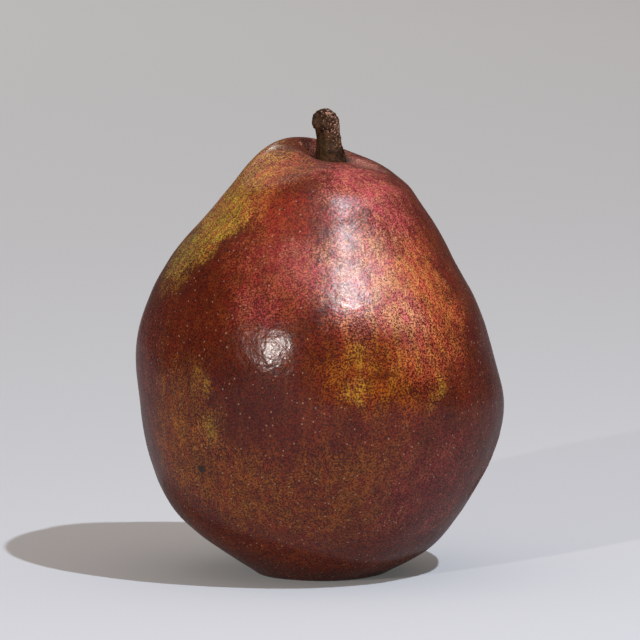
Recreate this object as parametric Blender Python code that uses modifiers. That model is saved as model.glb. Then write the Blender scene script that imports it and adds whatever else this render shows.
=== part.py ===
"""A ripe red pear standing on its calyx end: the fruit, its woody stem and the dried calyx underneath.

The fruit is one solid. Its outline is turned about the upright axis, then leaned, tilted and
lobed by the functions below. The stem stands in a socket in the crown. Five dried sepals and
a tuft of dried stamens sit in the shallow basin of the base. Lengths are in millimetres up to
the moment a mesh or a curve is made, and MM turns them into metres there.
"""

import math

import bmesh
import bpy
from mathutils import Matrix, Vector

MM = 0.001

# The fruit's side, as (radius, height) from the lip of the crown down to the edge of the foot.
SIDE = [
    (7.2, 86.7),
    (10.0, 85.9),
    (13.0, 84.4),
    (16.4, 81.6),
    (20.2, 77.0),
    (25.0, 71.2),
    (29.6, 64.4),
    (33.8, 56.6),
    (36.6, 47.6),
    (37.6, 38.4),
    (36.7, 29.2),
    (34.0, 20.6),
    (29.7, 13.0),
    (24.1, 7.2),
    (18.1, 2.9),
    (12.6, 0.0),
]
SIDE_STEPS = 2
FRUIT_SIDES = 64

# The stem cavity in the crown, down to the edge of the socket that holds the stem.
SOCKET_RADIUS = 3.65
SOCKET_FLOOR = 79.0
CAVITY = [SIDE[0], (5.4, 85.9), (4.3, 84.4), (SOCKET_RADIUS, 82.8)]

# The basin under the fruit, from the inner edge of the foot's flat ring to its middle.
BASIN = [(9.8, 0.0), (8.0, 1.3), (5.8, 3.0), (3.2, 4.1), (0.0, 4.4)]

# How far the centre line stands to the right (+X) and to the back (+Y) at each height.
LEAN_RIGHT = [
    (0.0, 0.2),
    (4.0, 1.3),
    (12.0, -0.6),
    (34.0, 0.6),
    (48.0, -1.3),
    (64.0, -1.7),
    (78.0, -0.3),
]
LEAN_BACK = [(0.0, 0.2), (18.0, 0.8), (38.0, 0.0), (58.0, -0.8), (78.0, 0.0)]

# The crown: it lies to the right of the middle, slopes down to the right and to the front,
# and has a raised lip behind the stem on the left.
CROWN_LEVEL = 60.0
CROWN_RADIUS = 10.0
CROWN_REACH = 22.0
CROWN_PLACE = Vector((2.7, 0.0))
CROWN_SLOPE = Vector((-0.25, 0.15))
LIP_RISE = 0.4
LIP_TURN = math.radians(130)

# The front of the shoulder is fuller, so that the side runs straight up to it.
SHOULDER_TURN = math.radians(-72)
SHOULDER_SWELL = 2.3
SHOULDER_LOW = 61.0
SHOULDER_PEAK = 82.0
SHOULDER_TOP = 87.5
SHOULDER_RADIUS = 14.0

# Five faint lobes, strongest at the foot and gone by this height.
LOBES = 5
LOBE_DEPTH = 0.012
LOBE_TURN = math.radians(20)
LOBE_TOP = 50.0

# The stem, as (offset to the right, height, radius) from its buried end to its scarred tip.
STEM = [
    (0.0, 80.7, 3.0),
    (0.0, 84.0, 3.25),
    (-0.2, 87.4, 3.1),
    (-0.5, 90.0, 2.65),
    (-0.8, 92.2, 2.5),
    (-1.1, 94.2, 2.8),
    (-1.2, 95.5, 2.5),
    (-1.2, 96.2, 1.4),
]
STEM_STEPS = 3
STEM_ROUNDNESS = 6

# The dried calyx in the basin.
SEPALS = 5
SEPAL_LENGTH = 4.4
SEPAL_WIDTH = 2.6
SEPAL_THICKNESS = 0.5
SEPAL_START = Vector((1.9, 0.0, 3.2))
SEPAL_DROOP = math.radians(24)
SEPAL_CURL = 0.6
SEPAL_CUP = 0.25
SEPAL_TAPER = 0.85
TUFT = [(0.0, 3.9), (0.9, 3.8), (1.3, 3.0), (1.0, 2.0), (0.0, 1.7)]
TUFT_SIDES = 12


def smooth_step(value, low, high):
    """0 below low, 1 above high, and an easy rise between them."""
    share = min(max((value - low) / (high - low), 0.0), 1.0)
    return share * share * (3.0 - 2.0 * share)


def smooth_line(points, steps):
    """A smooth line through the points, with this many steps from each to the next."""
    points = [Vector(point) for point in points]
    ends = [2 * points[0] - points[1], *points, 2 * points[-1] - points[-2]]
    line = []
    for before, start, end, after in zip(ends, ends[1:], ends[2:], ends[3:]):
        for step in range(steps):
            t = step / steps
            line.append(
                start
                + 0.5 * t * (end - before)
                + t * t * (before - 2.5 * start + 2.0 * end - 0.5 * after)
                + t * t * t * (1.5 * (start - end) + 0.5 * (after - before))
            )
    return [*line, points[-1]]


def offset_at(height, lean):
    """The centre line's offset at a height, easing from each (height, offset) to the next."""
    offset = lean[0][1]
    for (low, before), (high, after) in zip(lean, lean[1:]):
        offset += (after - before) * smooth_step(height, low, high)
    return offset


def centre_at(height):
    return Vector((offset_at(height, LEAN_RIGHT), offset_at(height, LEAN_BACK)))


def grown(point):
    """Where a point of the evenly turned fruit lies on the real, uneven one."""
    radius = math.hypot(point.x, point.y)
    angle = math.atan2(point.y, point.x)
    top = smooth_step(point.z, CROWN_LEVEL, SOCKET_FLOOR)
    crown = top * (1.0 - smooth_step(radius, CROWN_RADIUS, CROWN_REACH))
    lobe = LOBE_DEPTH * (1.0 - smooth_step(point.z, 0.0, LOBE_TOP))
    spread = 1.0 + lobe * math.cos(LOBES * angle + LOBE_TURN)
    shoulder = smooth_step(point.z, SHOULDER_LOW, SHOULDER_PEAK)
    shoulder *= 1.0 - smooth_step(point.z, SHOULDER_PEAK, SHOULDER_TOP)
    shoulder *= smooth_step(radius, SIDE[0][0], SHOULDER_RADIUS)
    facing = max(math.cos(angle - SHOULDER_TURN), 0.0)
    spread += SHOULDER_SWELL * shoulder * facing / max(radius, SIDE[0][0])
    place = Vector((point.x * spread, point.y * spread))
    lip = LIP_RISE * math.cos(angle - LIP_TURN) * smooth_step(radius, 0.0, CROWN_RADIUS)
    rise = crown * (CROWN_SLOPE.dot(place) + lip)
    place += crown * CROWN_PLACE + centre_at(point.z)
    return Vector((place.x, place.y, point.z + rise))


def material(name, colour, roughness):
    made = bpy.data.materials.new(name)
    made.use_nodes = True
    shader = made.node_tree.nodes["Principled BSDF"]
    shader.inputs["Base Color"].default_value = (*colour, 1.0)
    shader.inputs["Roughness"].default_value = roughness
    return made


def add_object(name, data, made_of):
    data.materials.append(made_of)
    thing = bpy.data.objects.new(name, data)
    pear.objects.link(thing)
    return thing


def add_modifier(thing, kind, **settings):
    modifier = thing.modifiers.new(kind.title(), kind)
    for setting, value in settings.items():
        setattr(modifier, setting, value)


def turned(name, profile, sides, made_of):
    """A profile of (radius, height) points turned about the upright axis."""
    outline = bpy.data.meshes.new(name)
    points = [(radius * MM, 0.0, height * MM) for radius, height in profile]
    edges = [(at, at + 1) for at in range(len(points) - 1)]
    outline.from_pydata(points, edges, [])
    thing = add_object(name, outline, made_of)
    add_modifier(
        thing,
        "SCREW",
        steps=sides,
        render_steps=sides,
        use_merge_vertices=True,
        merge_threshold=1e-6,
    )
    return thing


def make_fruit(skin):
    profile = [(0.0, SOCKET_FLOOR), (SOCKET_RADIUS, SOCKET_FLOOR)]
    profile += reversed(smooth_line(CAVITY, SIDE_STEPS)[1:])
    profile += smooth_line(SIDE, SIDE_STEPS)
    profile += smooth_line(BASIN, SIDE_STEPS)
    fruit = turned("fruit", profile, FRUIT_SIDES, skin)
    even = bpy.data.meshes.new_from_object(
        fruit.evaluated_get(bpy.context.evaluated_depsgraph_get())
    )
    for vertex in even.vertices:
        vertex.co = grown(vertex.co / MM) * MM
    fruit.modifiers.clear()
    fruit.data = even
    even.shade_smooth()


def make_stem(bark):
    line = smooth_line(STEM, STEM_STEPS)
    path = bpy.data.curves.new("stem", "CURVE")
    path.dimensions = "3D"
    path.bevel_depth = MM
    path.bevel_resolution = STEM_ROUNDNESS
    path.use_fill_caps = True
    spline = path.splines.new("POLY")
    spline.points.add(len(line) - 1)
    for knot, (offset, height, radius) in zip(spline.points, line):
        knot.co = (offset * MM, 0.0, height * MM, 1.0)
        knot.radius = radius
    stem = add_object("stem", path, bark)
    foot = grown(Vector((0.0, 0.0, SOCKET_FLOOR)))
    stem.location = (foot.x * MM, foot.y * MM, 0.0)


def make_sepal(number, papery):
    """A dried leaf of the calyx: a pointed, cupped sheet that hangs outward from the middle."""
    leaf = bmesh.new()
    bmesh.ops.create_grid(leaf, x_segments=4, y_segments=2, size=1.0)
    for vertex in leaf.verts:
        along = 0.5 + 0.5 * vertex.co.x
        across = vertex.co.y
        half_width = 0.5 * SEPAL_WIDTH * (1.0 - SEPAL_TAPER * along * along)
        rise = SEPAL_CUP * across * across - SEPAL_CURL * along * along
        vertex.co = Vector((SEPAL_LENGTH * along, half_width * across, rise)) * MM
    turn = Matrix.Rotation(number * math.tau / SEPALS, 4, "Z")
    hang = Matrix.Rotation(SEPAL_DROOP, 4, "Y")
    leaf.transform(turn @ Matrix.Translation(SEPAL_START * MM) @ hang)
    sheet = bpy.data.meshes.new(f"sepal_{number}")
    leaf.to_mesh(sheet)
    leaf.free()
    sepal = add_object(f"sepal_{number}", sheet, papery)
    add_modifier(sepal, "SOLIDIFY", thickness=SEPAL_THICKNESS * MM, offset=0.0)
    add_modifier(sepal, "SUBSURF", levels=1, render_levels=1)
    sepal.location = centre_at(0.0).to_3d() * MM


def make_tuft(dried):
    tuft = turned("stamen_tuft", TUFT, TUFT_SIDES, dried)
    tuft.location = centre_at(0.0).to_3d() * MM


for old in list(bpy.data.objects):
    bpy.data.objects.remove(old)

pear = bpy.data.collections.new("red_pear")
bpy.context.scene.collection.children.link(pear)

make_fruit(material("red_skin", (0.27, 0.06, 0.025), 0.35))
make_stem(material("bark", (0.10, 0.05, 0.025), 0.8))
calyx = material("dried_calyx", (0.06, 0.035, 0.02), 0.9)
for place in range(1, SEPALS + 1):
    make_sepal(place, calyx)
make_tuft(calyx)
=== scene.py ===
"""A ripe red pear standing on its calyx end, with its woody stem, on a plain pale floor."""

import math

import bmesh
import bpy
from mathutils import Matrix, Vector, noise


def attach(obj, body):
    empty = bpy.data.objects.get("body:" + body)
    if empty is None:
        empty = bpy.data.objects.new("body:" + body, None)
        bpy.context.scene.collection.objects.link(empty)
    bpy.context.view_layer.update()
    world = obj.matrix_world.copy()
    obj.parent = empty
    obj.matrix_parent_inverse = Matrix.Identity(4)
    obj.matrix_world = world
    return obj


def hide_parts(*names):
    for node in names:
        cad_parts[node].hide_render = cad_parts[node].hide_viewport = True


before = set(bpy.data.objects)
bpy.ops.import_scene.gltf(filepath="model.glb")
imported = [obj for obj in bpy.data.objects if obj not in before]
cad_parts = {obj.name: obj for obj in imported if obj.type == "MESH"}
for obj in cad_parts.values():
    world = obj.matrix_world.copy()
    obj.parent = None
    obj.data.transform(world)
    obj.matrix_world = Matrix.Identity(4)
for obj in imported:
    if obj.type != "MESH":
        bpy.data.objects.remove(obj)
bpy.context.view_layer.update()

MM = 0.001

# The camera stands far off, a little above the pear, and looks slightly down on it.
CAMERA_PLACE = Vector((0.0, -1.8403, 0.2852))
CAMERA_AIM = Vector((0.0001, 0.0, 0.0524))
FRAME_WIDTH = 0.13165

# A small hard lamp stands high on the right and a weaker one on the left. A spotlight brightens
# the paper far behind the pear.
LAMP_PLACE = Vector((0.448, -0.538, 0.955))
LAMP_SIZE = 0.02
LAMP_POWER = 9.3
LAMP_COLOUR = (0.80, 0.89, 1.0)
SIDE_LAMP_PLACE = Vector((-0.466, -0.872, 0.37))
SIDE_LAMP_SIZE = 0.02
SIDE_LAMP_POWER = 2.7
SIDE_LAMP_COLOUR = (1.0, 0.95, 0.9)
SPOT_PLACE = Vector((-0.75, 1.7, 1.5))
SPOT_AIM = Vector((-0.25, 0.95, 0.0))
SPOT_POWER = 46.0
SPOT_COLOUR = (0.93, 1.0, 0.93)
SPOT_SPREAD = math.radians(75)

# The room's own light: dark near the horizon, strong overhead, and even where it is seen
# directly or mirrored in the skin.
ROOM_COLOUR = (1.0, 0.84, 0.78)
ROOM_LOW = 0.035
ROOM_HIGH = 0.62
ROOM_FALL = 2.2
ROOM_MIRRORED = 0.1
ROOM_SEEN = 0.28
PAPER_WIDTH = 12.0
PAPER = (0.72, 0.72, 0.745)
PAPER_MIRRORED = (0.28, 0.27, 0.28)

# The stem's rings from its buried end up to the scar where it was picked: middle, the way
# the ring faces, and radius (mm). The top bends over to the front.
STEM_RINGS = [
    ((2.40, 0.0, 80.9), (0.0, 0.0, 1.0), 3.00),
    ((2.40, 0.0, 82.8), (0.0, 0.0, 1.0), 3.15),
    ((2.38, 0.0, 84.6), (0.0, 0.0, 1.0), 3.20),
    ((2.25, 0.0, 86.2), (-0.1, 0.0, 1.0), 3.10),
    ((2.05, 0.0, 87.8), (-0.12, 0.0, 1.0), 2.85),
    ((1.88, 0.0, 89.4), (-0.1, 0.0, 1.0), 2.55),
    ((1.78, 0.05, 90.8), (-0.08, 0.0, 1.0), 2.42),
    ((1.62, 0.1, 92.0), (-0.12, -0.12, 1.0), 2.48),
    ((1.38, 0.05, 93.0), (-0.2, -0.4, 0.92), 2.66),
    ((1.10, -0.3, 93.65), (-0.28, -0.65, 0.74), 2.72),
    ((0.82, -0.85, 93.95), (-0.34, -0.8, 0.55), 2.62),
    ((0.62, -1.35, 94.15), (-0.36, -0.83, 0.45), 2.30),
    ((0.52, -1.60, 94.25), (-0.36, -0.83, 0.45), 1.95),
    ((0.56, -1.45, 94.22), (-0.36, -0.83, 0.45), 1.60),
    ((0.50, -1.55, 94.26), (-0.36, -0.83, 0.45), 1.10),
    ((0.58, -1.30, 94.20), (-0.36, -0.83, 0.45), 0.55),
]
STEM_SIDES = 24
STEM_AXIS = Vector((2.4, 0.0, 0.0))
STEM_TOP = 96.15

# The bark's relief, as (height, length) of its upright ridges, its knobs and its pits.
RIDGES = (0.20, 1.1)
RIDGE_STRETCH = 0.45
KNOBS = (0.16, 1.3)
KNOBS_SHIFT = Vector((0.0, 9.0, 0.0))
PITS = (0.13, 0.5)

# The stem cavity is open on the left; in front and on the right the flesh hugs the stem.
CAVITY_FLOOR = 70.0
STEM_REACH = 3.4
STEM_ROOM = 3.5
CAVITY_LIP = 5.6
CAVITY_EDGE = 7.2
CAVITY_REACH = 13.0
CAVITY_CLOSE = 2.3
CAVITY_TURN = math.radians(195)

# A short shallow fold low on the right, and the foot, pressed flat by the fruit's weight.
FOLD = (Vector((35.3, -4.5, 28.0)), Vector((31.6, -9.0, 17.5)))
FOLD_DEPTH = 0.6
FOLD_WIDTH = 1.1
FOLD_LIP = 0.18
FOLD_LIP_PLACE = 2.0
FOOT_PRESS = 0.3
FOOT_ROUNDING = 1.2

# The skin's unevenness, as (height, length) of slow swells and of small waves, and how far the
# whole skin stands out.
SWELLS = (0.30, 13.0)
WAVES = (0.10, 5.0)
WAVES_SHIFT = Vector((7.0, 3.0, 1.0))
SKIN_RISE = 0.04

# The shoulder is full in front, a little on the right and at the back on the left: swell (mm),
# turn (degrees), and the heights (mm) where it begins, is fullest and ends.
SHOULDERS = [
    (2.0, -75.0, 73.0, 82.0, 86.5),
    (0.9, 0.0, 74.0, 82.5, 90.0),
    (0.5, 125.0, 80.0, 86.0, 94.0),
]

# Skin colours.
MAROON = (0.165, 0.02, 0.003)
BROWN = (0.1, 0.0085, 0.0003)
PURPLE = (0.1, 0.011, 0.007)
PLUM = (0.175, 0.023, 0.016)
RED = (0.26, 0.023, 0.007)
BRICK = (0.31, 0.042, 0.024)
PINK = (0.52, 0.092, 0.085)
SALMON = (0.62, 0.19, 0.125)
ORANGE = (0.54, 0.12, 0.034)
AMBER = (0.27, 0.058, 0.003)
OCHRE = (0.47, 0.215, 0.026)
OLIVE = (0.32, 0.17, 0.035)
BUFF = (0.24, 0.052, 0.003)
TAN = (0.55, 0.2, 0.05)
# Partly the skin's own pink, partly painted light: pale pink on the stem cavity's back wall, as if lit.
CAVITY_PINK_AND_PAINTED_LIGHT = (0.66, 0.22, 0.19)
BLEMISH_BROWN = (0.035, 0.014, 0.008)
# Painted shade: dark brown in the socket round the stem's foot.
SOCKET_PAINTED_SHADE = (0.05, 0.018, 0.01)
SHADE = (0.045, 0.009, 0.004)
PALE = (0.60, 0.36, 0.22)

# How the skin's colour is multiplied where it is mottled redder or yellower, and in the dark and
# light grains of its stipple.
REDDER = (0.92, 0.62, 0.84)
YELLOWER = (1.08, 1.34, 1.03)
DARK_GRAIN = (0.45, 0.32, 0.40)
LIGHT_GRAIN = (1.45, 1.7, 1.5)

# Soft spots on the skin, as (middle, reach) in mm: the socket round the stem, where shade is painted
# dark brown and the skin is dulled, the waxy bloom in front, the dull shoulder and rim of the crown, the
# part with most dark dots, and a blemish.
SOCKET_SHADE_AND_DULL = ((2.8, 0.6, 83.2), (6.6, 6.6, 6.0))
# The waxy bloom in front also fades the skin's dark grains where the main highlight falls: partly
# painted highlight.
BLOOM_AND_HIGHLIGHT = ((8.0, -22.0, 74.0), (38.0, 38.0, 28.0))
DULL_SHOULDER = ((-7.5, -8.0, 85.0), (14.0, 12.0, 9.0))
DULL_RIM = ((5.0, 2.0, 85.2), (5.5, 6.0, 4.0))
DOTTED = ((14.0, -26.0, 52.0), (24.0, 26.0, 28.0))
BLEMISH = ((-24.1, -25.6, 25.1), (1.0, 2.0, 1.3))
BLEMISH_TILT = 20.0

# Spacing of the skin's dots, and sizes of its stipple, streaks, mottling, blotches and clouds.
DARK_DOTS = 0.52
PALE_DOTS = 1.5
STIPPLE = 0.36
STREAKS = 1.0
STREAK_STRETCH = 0.16
MOTTLING = 1.5
MOTTLING_STRETCH = 0.25
BLOTCHES = 4.0
CLOUDS = 17.0

# How far the areas' edges wander (mm) and how fast, and the skin's fine relief, as (height,
# length) of its dimples and its pores.
DRIFT = 9.0
DRIFT_SCALE = 0.16
DIMPLES = (0.11, 1.7)
PORES = (0.03, 0.55)

# The bark's colours, its soft spots as (middle, reach) in mm, and the sizes of its detail.
BARK_DARK = (0.018, 0.006, 0.002)
BARK_BROWN = (0.085, 0.033, 0.011)
BARK_SMOOTH = (0.085, 0.042, 0.012)
BARK_FLAKED = (0.52, 0.27, 0.18)
FLAKED_SIDE = ((4.5, -2.0, 94.0), (4.5, 5.0, 9.0))
FLAKED_TILT = -12.0
FLAKED_TOP = ((2.0, -2.0, 95.5), (3.5, 4.0, 3.0))
SMOOTH_SIDE = ((0.5, -2.5, 87.5), (3.0, 4.0, 5.0))
BARK_FLAKES = 0.34
BARK_CLOUDS = 1.2
BARK_RELIEF = 0.12

# The dried calyx.
LEAF_DARK = (0.035, 0.018, 0.009)
LEAF_PALE = (0.15, 0.085, 0.04)
LEAF_VEINS = 0.5
LEAF_RELIEF = 0.15

# Areas where the skin's colour changes: colour, middle and reach (mm), tilt (degrees) and
# strength. Later ones lie over earlier ones.
AREAS = [
    (BRICK, (14.0, -24.0, 60.0), (26.0, 24.0, 34.0), 0.0, 0.9),
    (BRICK, (-7.0, -26.0, 65.0), (16.0, 18.0, 20.0), 0.0, 0.7),
    (TAN, (-20.0, 2.0, 80.0), (24.0, 30.0, 11.0), 46.0, 1.0),
    (OCHRE, (-18.5, -11.0, 75.0), (27.0, 18.0, 5.4), 47.0, 0.85),
    (OLIVE, (-28.0, -8.0, 67.0), (10.0, 12.0, 4.5), 47.0, 0.8),
    (ORANGE, (-8.0, -11.0, 84.0), (13.0, 11.0, 8.0), 35.0, 0.6),
    (ORANGE, (-12.0, -17.0, 77.0), (6.0, 10.0, 8.0), 35.0, 0.6),
    (PINK, (8.0, -14.0, 78.5), (18.0, 15.0, 16.0), 20.0, 1.0),
    (RED, (-5.5, -20.0, 75.0), (9.0, 11.0, 11.0), 15.0, 0.9),
    (PLUM, (21.0, -6.0, 79.0), (9.0, 18.0, 16.0), 35.0, 0.6),
    # Painted light, partly the skin's own pink: pale pink on the cavity's back wall and beside the stem.
    (CAVITY_PINK_AND_PAINTED_LIGHT, (0.5, 4.0, 86.5), (8.0, 7.0, 5.5), 0.0, 1.0),
    (CAVITY_PINK_AND_PAINTED_LIGHT, (9.0, -1.0, 84.0), (7.0, 8.0, 5.0), 30.0, 0.6),
    (SALMON, (12.0, -27.0, 62.0), (18.0, 16.0, 23.0), 15.0, 1.0),
    (ORANGE, (22.0, -21.0, 60.0), (9.0, 13.0, 20.0), 25.0, 0.75),
    (SALMON, (17.0, -30.0, 53.0), (9.0, 9.0, 9.0), 0.0, 0.55),
    (PINK, (-4.0, -27.0, 66.0), (8.0, 10.0, 9.0), 0.0, 0.5),
    (PINK, (-12.0, -30.0, 56.0), (8.0, 10.0, 9.0), 0.0, 0.25),
    (BROWN, (-12.0, -34.0, 42.0), (19.0, 14.0, 17.0), 0.0, 1.0),
    (AMBER, (12.0, -33.0, 46.0), (20.0, 14.0, 14.0), 0.0, 0.9),
    (ORANGE, (21.0, -28.0, 47.5), (10.0, 10.0, 9.0), 0.0, 0.55),
    (OCHRE, (6.8, -36.5, 42.0), (4.5, 7.0, 4.0), 20.0, 0.4),
    (OCHRE, (9.0, -36.0, 49.0), (5.0, 7.0, 5.0), 20.0, 0.25),
    (OCHRE, (24.0, -28.0, 41.5), (2.4, 7.0, 5.5), 0.0, 0.4),
    (BROWN, (13.5, -34.0, 45.2), (5.5, 6.0, 1.8), 20.0, 0.8),
    (BUFF, (-28.0, -21.0, 33.0), (14.0, 16.0, 23.0), 0.0, 1.0),
    (BUFF, (-17.0, -28.0, 21.0), (18.0, 15.0, 14.0), -20.0, 0.8),
    (BUFF, (5.0, -30.0, 22.0), (26.0, 18.0, 19.0), 0.0, 0.55),
    (OCHRE, (-21.8, -29.8, 34.0), (4.5, 8.0, 7.0), 0.0, 0.35),
    (OCHRE, (-25.0, -28.0, 44.0), (4.5, 8.0, 7.0), 0.0, 0.25),
    (PLUM, (23.0, -24.0, 20.0), (22.0, 22.0, 22.0), 0.0, 0.9),
    (PURPLE, (37.0, -14.0, 40.0), (10.0, 24.0, 30.0), 8.0, 1.0),
    # Painted reflection: pink low on the right, standing in for light from the lit floor.
    (PINK, (30.0, -20.0, 11.0), (13.0, 14.0, 10.0), 0.0, 0.45),
    (PLUM, (-36.0, -10.0, 46.0), (8.0, 20.0, 22.0), 0.0, 0.8),
    (BRICK, (12.0, 26.0, 62.0), (24.0, 18.0, 28.0), 10.0, 0.7),
    (AMBER, (-14.0, 31.0, 34.0), (22.0, 16.0, 22.0), 15.0, 0.8),
    (ORANGE, (-9.0, 34.0, 47.0), (10.0, 9.0, 12.0), 20.0, 0.4),
    (BUFF, (17.0, 29.0, 24.0), (20.0, 18.0, 18.0), -10.0, 0.7),
    (RED, (30.0, 12.0, 52.0), (14.0, 20.0, 24.0), 0.0, 0.6),
    (TAN, (0.0, 0.0, 1.0), (13.0, 13.0, 5.0), 0.0, 0.8),
]


# ---------------------------------------------------------------- modelling


def deselect():
    if bpy.context.object and bpy.context.object.mode != "OBJECT":
        bpy.ops.object.mode_set(mode="OBJECT")
    bpy.ops.object.select_all(action="DESELECT")


def take(thing):
    """Makes one object the only one selected."""
    deselect()
    thing.select_set(True)
    bpy.context.view_layer.objects.active = thing


def open_edit(thing, mode="VERT"):
    take(thing)
    bpy.ops.object.mode_set(mode="EDIT")
    bpy.ops.mesh.select_mode(type=mode)
    bpy.ops.mesh.select_all(action="SELECT")


def apply_modifier(thing, kind, **settings):
    take(thing)
    modifier = thing.modifiers.new(kind.title(), kind)
    for setting, value in settings.items():
        setattr(modifier, setting, value)
    bpy.ops.object.modifier_apply(modifier=modifier.name)


def copy_of_node(node, name):
    """A CAD node's shape as a piece of its own, its loose triangles merged into quads."""
    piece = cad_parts[node].copy()
    piece.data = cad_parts[node].data.copy()
    piece.name = name
    for key in list(piece.keys()):
        del piece[key]
    piece.parent = None
    bpy.context.scene.collection.objects.link(piece)
    open_edit(piece)
    bpy.ops.mesh.remove_doubles(threshold=1e-6)
    bpy.ops.mesh.tris_convert_to_quads()
    bpy.ops.object.mode_set(mode="OBJECT")
    piece.data.materials.clear()
    return piece


def smooth_step(value, low, high):
    """0 below low, 1 above high, and an easy rise between them."""
    share = min(max((value - low) / (high - low), 0.0), 1.0)
    return share * share * (3.0 - 2.0 * share)


def sculpt(piece, shaped):
    """Moves each point of a piece by a rule that works in millimetres."""
    points = [(vertex.co / MM, vertex.normal.copy()) for vertex in piece.data.vertices]
    for vertex, (place, out) in zip(piece.data.vertices, points):
        vertex.co = shaped(place, out) * MM


def crowned(place):
    """The crown's skin, drawn toward the stem in front and on the right."""
    out = Vector((place.x, place.y, 0.0)) - STEM_AXIS
    radius = out.length
    if place.z < CAVITY_FLOOR or radius < STEM_REACH or radius > CAVITY_REACH:
        return place
    away = -math.cos(math.atan2(out.y, out.x) - CAVITY_TURN)
    share = smooth_step(radius, STEM_REACH, CAVITY_LIP)
    share *= 1.0 - smooth_step(radius, CAVITY_EDGE, CAVITY_REACH)
    shift = -CAVITY_CLOSE * smooth_step(away, -0.35, 0.5)
    return place + out.normalized() * max(shift * share, STEM_ROOM - radius)


def shouldered(place):
    """How far the shoulder stands out, so that the side runs straight up to it."""
    turn = math.atan2(place.y, place.x)
    total = 0.0
    for swell, middle, low, peak, top in SHOULDERS:
        rise = smooth_step(place.z, low, peak) * (1.0 - smooth_step(place.z, peak, top))
        facing = max(math.cos(turn - math.radians(middle)), 0.0)
        total += swell * rise * facing * facing
    return total


def near_line(place, start, end):
    """The distance from a point to a straight line with two ends."""
    along = end - start
    share = (place - start).dot(along) / along.dot(along)
    return (place - start - along * min(max(share, 0.0), 1.0)).length


def grown(place, out):
    """The fruit's unevenness: swells, waves, the fold, the crown, the shoulder and the foot."""
    foot = smooth_step(place.z, 0.3, 5.0)
    rise = SWELLS[0] * noise.noise(place / SWELLS[1])
    rise += WAVES[0] * noise.noise(place / WAVES[1] + WAVES_SHIFT)
    rise += SKIN_RISE * smooth_step(place.z, 0.0, 3.0)
    fold = near_line(place, *FOLD)
    rise += FOLD_LIP * math.exp(-((fold - FOLD_LIP_PLACE) ** 2))
    rise -= FOLD_DEPTH * math.exp(-((fold / FOLD_WIDTH) ** 2))
    new = crowned(place) + out * (rise * foot + shouldered(place))
    if new.z < FOOT_ROUNDING:
        new.z = max(new.z - FOOT_PRESS, 0.0) * FOOT_ROUNDING / (FOOT_ROUNDING - FOOT_PRESS)
    return new


def make_fruit():
    fruit = copy_of_node("fruit", "pear_flesh_and_skin")
    apply_modifier(fruit, "SUBSURF", levels=2, render_levels=2)
    sculpt(fruit, grown)
    bpy.ops.object.shade_smooth()
    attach(fruit, "root")
    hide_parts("fruit")
    return fruit


def place_ring(piece, before, after):
    """Moves the selected ring of points from where it was to where it belongs."""
    mesh = bmesh.from_edit_mesh(piece.data)
    (old_middle, old_facing, old_radius), (middle, facing, radius) = before, after
    turn = Vector(old_facing).rotation_difference(Vector(facing))
    for point in mesh.verts:
        if point.select:
            arm = (point.co / MM - Vector(old_middle)) * (radius / old_radius)
            point.co = (Vector(middle) + turn @ arm) * MM
    bmesh.update_edit_mesh(piece.data)


def barked(place, out):
    """Bark: ridges that run up the stem, broken by knobs and small pits."""
    upright = Vector((place.x, place.y, RIDGE_STRETCH * place.z))
    rise = RIDGES[0] * noise.noise(upright / RIDGES[1]) + PITS[0] * noise.noise(place / PITS[1])
    rise += KNOBS[0] * noise.noise(place / KNOBS[1] + KNOBS_SHIFT)
    new = place + out * rise
    new.z = min(new.z, STEM_TOP)
    return new


def make_stem():
    deselect()
    bpy.ops.mesh.primitive_circle_add(vertices=STEM_SIDES, radius=MM, fill_type="NGON")
    stem = bpy.context.object
    stem.name = "woody_stem"
    open_edit(stem)
    before = ((0.0, 0.0, 0.0), (0.0, 0.0, 1.0), 1.0)
    for number, ring in enumerate(STEM_RINGS):
        if number:
            bpy.ops.mesh.extrude_region_move()
        place_ring(stem, before, ring)
        before = ring
    bpy.ops.mesh.select_all(action="SELECT")
    bpy.ops.mesh.normals_make_consistent(inside=False)
    bpy.ops.object.mode_set(mode="OBJECT")
    apply_modifier(stem, "SUBSURF", levels=3, render_levels=3)
    sculpt(stem, barked)
    bpy.ops.object.shade_smooth()
    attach(stem, "root")
    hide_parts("stem")
    return stem


# ---------------------------------------------------------------- materials


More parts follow.
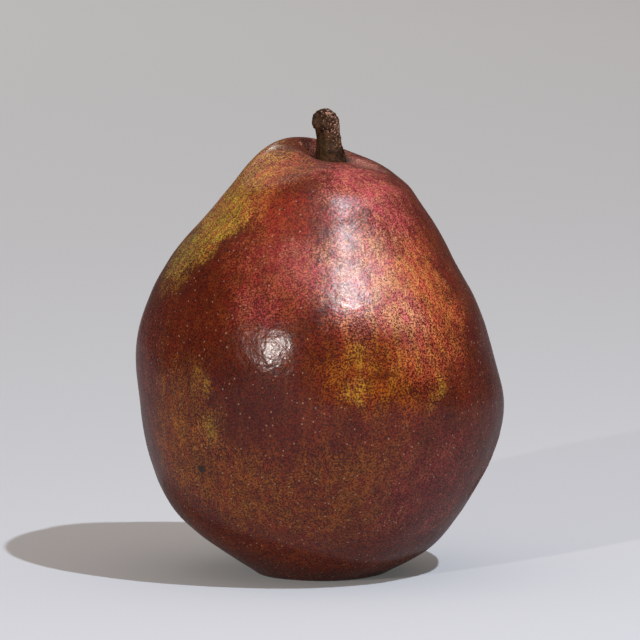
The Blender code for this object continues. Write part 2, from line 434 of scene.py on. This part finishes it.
class Recipe:
    """A material and the shader nodes that make it up. Each step hands back its result."""

    def __init__(self, name):
        self.material = bpy.data.materials.new(name)
        self.material.use_nodes = True
        self.tree = self.material.node_tree
        self.shader = self.tree.nodes["Principled BSDF"]
        place = self.tree.nodes.new("ShaderNodeTexCoord").outputs["Object"]
        self.place = self.mapped(place, scale=Vector((1.0, 1.0, 1.0)) / MM)

    def feed(self, socket, value):
        if isinstance(value, bpy.types.NodeSocket):
            self.tree.links.new(value, socket)
        elif socket.type == "RGBA":
            socket.default_value = (*value, 1.0)
        else:
            socket.default_value = value

    def step(self, kind, values, **settings):
        node = self.tree.nodes.new("ShaderNode" + kind)
        for setting, value in settings.items():
            setattr(node, setting, value)
        for name, value in values.items():
            self.feed(node.inputs[name], value)
        return node

    def maths(self, operation, first, second=0.0):
        return self.step("Math", {0: first, 1: second}, operation=operation).outputs[0]

    def mapped(self, place, move=(0.0, 0.0, 0.0), turn=(0.0, 0.0, 0.0), scale=(1.0, 1.0, 1.0)):
        values = {"Vector": place, "Location": move, "Rotation": turn, "Scale": scale}
        return self.step("Mapping", values).outputs[0]

    def ease(self, value, low, high, start=0.0, end=1.0):
        """Eases from start to end while the value goes from low to high."""
        values = {"Value": value, 1: low, 2: high, 3: start, 4: end}
        return self.step("MapRange", values, interpolation_type="SMOOTHSTEP").outputs[0]

    def mix(self, share, below, above, blend="MIX"):
        values = {0: share, 6: below, 7: above}
        return self.step("Mix", values, data_type="RGBA", blend_type=blend).outputs[2]

    def noise(self, size, detail=2.0, place=None):
        """Cloudy noise between 0 and 1, with clouds of this size in millimetres."""
        values = {"Vector": place or self.place, "Scale": 1.0 / size, "Detail": detail}
        return self.step("TexNoise", values).outputs["Fac"]

    def cells(self, size, place=None):
        """Distance to the nearest of many scattered points, in millimetres."""
        values = {"Vector": place or self.place, "Scale": 1.0 / size}
        nearest = self.step("TexVoronoi", values).outputs["Distance"]
        return self.maths("MULTIPLY", nearest, size)

    def patch(self, place, middle, reach, tilt=0.0):
        """A soft spot, 1 in the middle and 0 from the rim on."""
        turn = (0.0, -math.radians(tilt), 0.0)
        values = {"Vector": place, "Location": middle, "Rotation": turn, "Scale": reach}
        near = self.step("Mapping", values, vector_type="TEXTURE").outputs[0]
        far = self.step("VectorMath", {0: near}, operation="LENGTH").outputs["Value"]
        return self.ease(far, 0.0, 1.0, 1.0, 0.0)

    def bumped(self, height, distance, strength=1.0, normal=None):
        values = {"Height": height, "Distance": distance * MM, "Strength": strength}
        if normal:
            values["Normal"] = normal
        return self.step("Bump", values).outputs[0]

    def finish(self, **values):
        for name, value in values.items():
            self.feed(self.shader.inputs[name.replace("_", " ")], value)
        return self.material


def wandering(skin):
    """The skin's place, shifted a little this way and that, for ragged edges."""
    drift = skin.step("TexNoise", {"Vector": skin.place, "Scale": DRIFT_SCALE, "Detail": 4.0})
    values = {0: drift.outputs["Color"], 1: (0.5, 0.5, 0.5)}
    offset = skin.step("VectorMath", values, operation="SUBTRACT").outputs[0]
    wander = skin.step("VectorMath", {0: offset, "Scale": DRIFT}, operation="SCALE").outputs[0]
    return skin.step("VectorMath", {0: skin.place, 1: wander}, operation="ADD").outputs[0]


def grained(skin, parts):
    """Noises added together, each as strong as it says, around a middle of 0."""
    total = None
    for pattern, strength in parts:
        part = skin.maths("MULTIPLY", skin.maths("SUBTRACT", pattern, 0.5), strength)
        total = skin.maths("ADD", total, part) if total else part
    return total


def blushed(skin, ragged, grain):
    """The ground colour with all the areas over it."""
    broad = skin.maths("ADD", skin.noise(CLOUDS, 2.0), skin.maths("MULTIPLY", grain, 0.4))
    colour = skin.mix(skin.ease(broad, 0.3, 0.75), MAROON, BROWN)
    for area, middle, reach, tilt, strength in AREAS:
        spot = skin.patch(ragged, middle, reach, tilt)
        rim = skin.maths("MULTIPLY", grain, skin.ease(spot, 0.0, 0.35))
        share = skin.ease(skin.maths("ADD", spot, rim), 0.0, 0.95, 0.0, strength)
        colour = skin.mix(share, colour, area)
    return colour


def stippled(skin, colour, stipple, blotches, bloom_and_highlight):
    """The colour broken up by mottling, by slow blotches and by fine dark and light grains, with the
    dark grains faded in front where the main highlight falls: partly waxy bloom, partly painted
    highlight.
    """
    redder = skin.mix(1.0, colour, REDDER, "MULTIPLY")
    yellower = skin.mix(1.0, colour, YELLOWER, "MULTIPLY")
    mottling = skin.noise(MOTTLING, 3.0, skin.mapped(skin.place, scale=(1.0, 1.0, MOTTLING_STRETCH)))
    colour = skin.mix(skin.ease(mottling, 0.36, 0.64), redder, yellower)

    tone = skin.ease(blotches, 0.3, 0.7, 0.84, 1.12)
    tone = skin.step("CombineColor", {0: tone, 1: tone, 2: tone}).outputs[0]
    colour = skin.mix(1.0, colour, tone, "MULTIPLY")
    dark = skin.mix(1.0, colour, DARK_GRAIN, "MULTIPLY")
    # Painted highlight, partly waxy bloom: fewer dark grains in front, where the main highlight falls.
    dark = skin.mix(skin.maths("MULTIPLY", bloom_and_highlight, 0.5), dark, colour)
    light = skin.mix(1.0, colour, LIGHT_GRAIN, "MULTIPLY")
    return skin.mix(skin.ease(stipple, 0.36, 0.64), dark, light)


def dotted(skin, colour, ragged):
    """The colour with dark breathing dots, thickest in one part, and pale ones elsewhere."""
    dark = skin.ease(skin.cells(DARK_DOTS), 0.10, 0.19, 1.0, 0.0)
    thick = skin.ease(skin.patch(ragged, *DOTTED), 0.0, 0.8, 0.55, 1.0)
    colour = skin.mix(skin.maths("MULTIPLY", dark, thick), colour, SHADE)
    pale = skin.ease(skin.cells(PALE_DOTS), 0.12, 0.22, 1.0, 0.0)
    thin = skin.ease(thick, 0.55, 0.8, 0.5, 0.0)
    return skin.mix(skin.maths("MULTIPLY", pale, thin), colour, PALE)


def make_skin():
    """Maroon over ochre, broken up by fine stipple, with a waxy gloss and a dimpled surface."""
    skin = Recipe("pear_skin")
    ragged = wandering(skin)
    stipple = skin.noise(STIPPLE, 1.0)
    streaks = skin.noise(STREAKS, 2.0, skin.mapped(skin.place, scale=(1.0, 1.0, STREAK_STRETCH)))
    blotches = skin.noise(BLOTCHES, 3.0)
    grain = grained(skin, [(stipple, 1.1), (streaks, 0.7), (blotches, 0.6)])
    bloom_and_highlight = skin.ease(skin.patch(skin.place, *BLOOM_AND_HIGHLIGHT), 0.0, 0.7)

    colour = blushed(skin, ragged, grain)
    colour = stippled(skin, colour, stipple, blotches, bloom_and_highlight)
    colour = dotted(skin, colour, ragged)
    # Painted shade: the socket round the stem's foot is darkened. The same spot also dulls the skin.
    socket = skin.ease(skin.patch(skin.place, *SOCKET_SHADE_AND_DULL), 0.1, 0.5)
    colour = skin.mix(socket, colour, SOCKET_PAINTED_SHADE)
    scar = skin.patch(skin.place, *BLEMISH, BLEMISH_TILT)
    colour = skin.mix(skin.ease(scar, 0.0, 0.5), colour, BLEMISH_BROWN)

    normal = skin.bumped(skin.noise(DIMPLES[1], 2.0), DIMPLES[0])
    normal = skin.bumped(skin.noise(PORES[1], 1.0), PORES[0], 1.0, normal)
    roughness = skin.ease(skin.noise(0.8, 2.0), 0.3, 0.7, 0.22, 0.28)
    roughness = skin.maths("ADD", roughness, skin.maths("MULTIPLY", bloom_and_highlight, 0.14))
    shoulder = skin.ease(skin.patch(skin.place, *DULL_SHOULDER), 0.0, 0.5)
    rim = skin.ease(skin.patch(skin.place, *DULL_RIM), 0.0, 0.4)
    dull = skin.maths("MAXIMUM", rim, skin.maths("MAXIMUM", shoulder, socket))
    roughness = skin.maths("ADD", roughness, skin.maths("MULTIPLY", dull, 0.5))
    values = {"Base_Color": colour, "Roughness": roughness, "Normal": normal}
    return skin.finish(IOR=1.5, Specular_IOR_Level=0.62, **values)


def make_bark():
    """Dark rough bark, paler where it has flaked on the right and round the scar."""
    bark = Recipe("stem_bark")
    flakes = bark.noise(BARK_FLAKES, 2.0)
    cloudy = bark.noise(BARK_CLOUDS, 3.0)
    colour = bark.mix(bark.ease(cloudy, 0.35, 0.65), BARK_DARK, BARK_BROWN)
    flaked = bark.patch(bark.place, *FLAKED_SIDE, FLAKED_TILT)
    flaked = bark.maths("MAXIMUM", flaked, bark.patch(bark.place, *FLAKED_TOP))
    share = bark.maths("ADD", flakes, bark.maths("MULTIPLY", flaked, 0.22))
    colour = bark.mix(bark.ease(share, 0.67, 0.79), colour, BARK_FLAKED)
    smooth = bark.patch(bark.place, *SMOOTH_SIDE)
    colour = bark.mix(bark.maths("MULTIPLY", smooth, 0.6), colour, BARK_SMOOTH)
    normal = bark.bumped(flakes, BARK_RELIEF)
    roughness = bark.ease(cloudy, 0.3, 0.7, 0.55, 0.8)
    return bark.finish(Base_Color=colour, Roughness=roughness, Normal=normal, Specular_IOR_Level=0.2)


def make_dried_leaf():
    """The dried calyx: dark papery brown with paler veins."""
    leaf = Recipe("dried_leaf")
    veins = leaf.noise(LEAF_VEINS, 3.0)
    colour = leaf.mix(leaf.ease(veins, 0.35, 0.7), LEAF_DARK, LEAF_PALE)
    normal = leaf.bumped(veins, LEAF_RELIEF)
    roughness = leaf.ease(veins, 0.3, 0.7, 0.9, 0.7)
    return leaf.finish(Base_Color=colour, Roughness=roughness, Normal=normal)


def make_paper():
    """Matt paper. It looks darker in reflections, as if it ended just outside the view."""
    paper = Recipe("pale_paper")
    mirrored = paper.step("LightPath", {}).outputs["Is Glossy Ray"]
    colour = paper.mix(mirrored, PAPER, PAPER_MIRRORED)
    return paper.finish(Base_Color=colour, Roughness=0.9)


# ---------------------------------------------------------------- stage


def make_floor():
    deselect()
    bpy.ops.mesh.primitive_plane_add(size=PAPER_WIDTH)
    floor = bpy.context.object
    floor.name = "paper_floor"
    return floor


def add_light(name, kind, place, aim, power, colour):
    """A light at a place, turned to its aim."""
    light = bpy.data.lights.new(name, kind)
    light.energy = power
    light.color = colour
    thing = bpy.data.objects.new(name, light)
    bpy.context.scene.collection.objects.link(thing)
    thing.location = place
    thing.rotation_euler = (place - aim).to_track_quat("Z", "Y").to_euler()
    return light


def make_lamps():
    lamp = add_light("lamp", "AREA", LAMP_PLACE, CAMERA_AIM, LAMP_POWER, LAMP_COLOUR)
    lamp.shape = "DISK"
    lamp.size = LAMP_SIZE
    lamp = add_light("side_lamp", "AREA", SIDE_LAMP_PLACE, CAMERA_AIM, SIDE_LAMP_POWER, SIDE_LAMP_COLOUR)
    lamp.shape = "DISK"
    lamp.size = SIDE_LAMP_SIZE
    spot = add_light("paper_spot", "SPOT", SPOT_PLACE, SPOT_AIM, SPOT_POWER, SPOT_COLOUR)
    spot.spot_size = SPOT_SPREAD
    spot.spot_blend = 1.0
    spot.use_shadow = False


def make_room():
    """Dim light from all round, with its strength set by height and by how it is seen."""
    room = bpy.data.worlds.new("room")
    bpy.context.scene.world = room
    room.use_nodes = True
    tree = room.node_tree

    def add(kind, **links):
        """A node with some inputs linked and others set."""
        node = tree.nodes.new("ShaderNode" + kind)
        for name, value in links.items():
            socket = node.inputs[int(name[1:]) if name[1:].isdigit() else name.replace("_", " ")]
            if isinstance(value, bpy.types.NodeSocket):
                tree.links.new(value, socket)
            else:
                socket.default_value = value
        return node

    height = add("SeparateXYZ", _0=add("TexCoord").outputs["Generated"]).outputs["Z"]
    above = add("Math", _0=height, _1=0.0)
    above.operation = "MAXIMUM"
    fall = add("Math", _0=above.outputs[0], _1=ROOM_FALL)
    fall.operation = "POWER"
    path = add("LightPath")
    lit = add("MapRange", Value=fall.outputs[0], To_Min=ROOM_LOW, To_Max=ROOM_HIGH)
    glossy = path.outputs["Is Glossy Ray"]
    mirrored = add("MapRange", Value=glossy, To_Min=lit.outputs[0], To_Max=ROOM_MIRRORED)
    direct = path.outputs["Is Camera Ray"]
    seen = add("MapRange", Value=direct, To_Min=mirrored.outputs[0], To_Max=ROOM_SEEN)
    glow = tree.nodes["Background"]
    glow.inputs["Color"].default_value = (*ROOM_COLOUR, 1.0)
    tree.links.new(seen.outputs[0], glow.inputs["Strength"])


def make_camera():
    camera = bpy.data.cameras.new("camera")
    away = CAMERA_PLACE - CAMERA_AIM
    camera.sensor_width = 36.0
    camera.lens = camera.sensor_width * away.length / FRAME_WIDTH
    camera.clip_start = 0.01
    thing = bpy.data.objects.new("camera", camera)
    bpy.context.scene.collection.objects.link(thing)
    thing.location = CAMERA_PLACE
    thing.rotation_euler = away.to_track_quat("Z", "Y").to_euler()
    bpy.context.scene.camera = thing


make_fruit().data.materials.append(make_skin())
make_stem().data.materials.append(make_bark())
dried_leaf = make_dried_leaf()
for name in ["sepal_1", "sepal_2", "sepal_3", "sepal_4", "sepal_5", "stamen_tuft"]:
    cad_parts[name].data.materials[0] = dried_leaf

make_floor().data.materials.append(make_paper())
make_lamps()
make_room()
make_camera()
bpy.context.scene.view_settings.view_transform = "Standard"
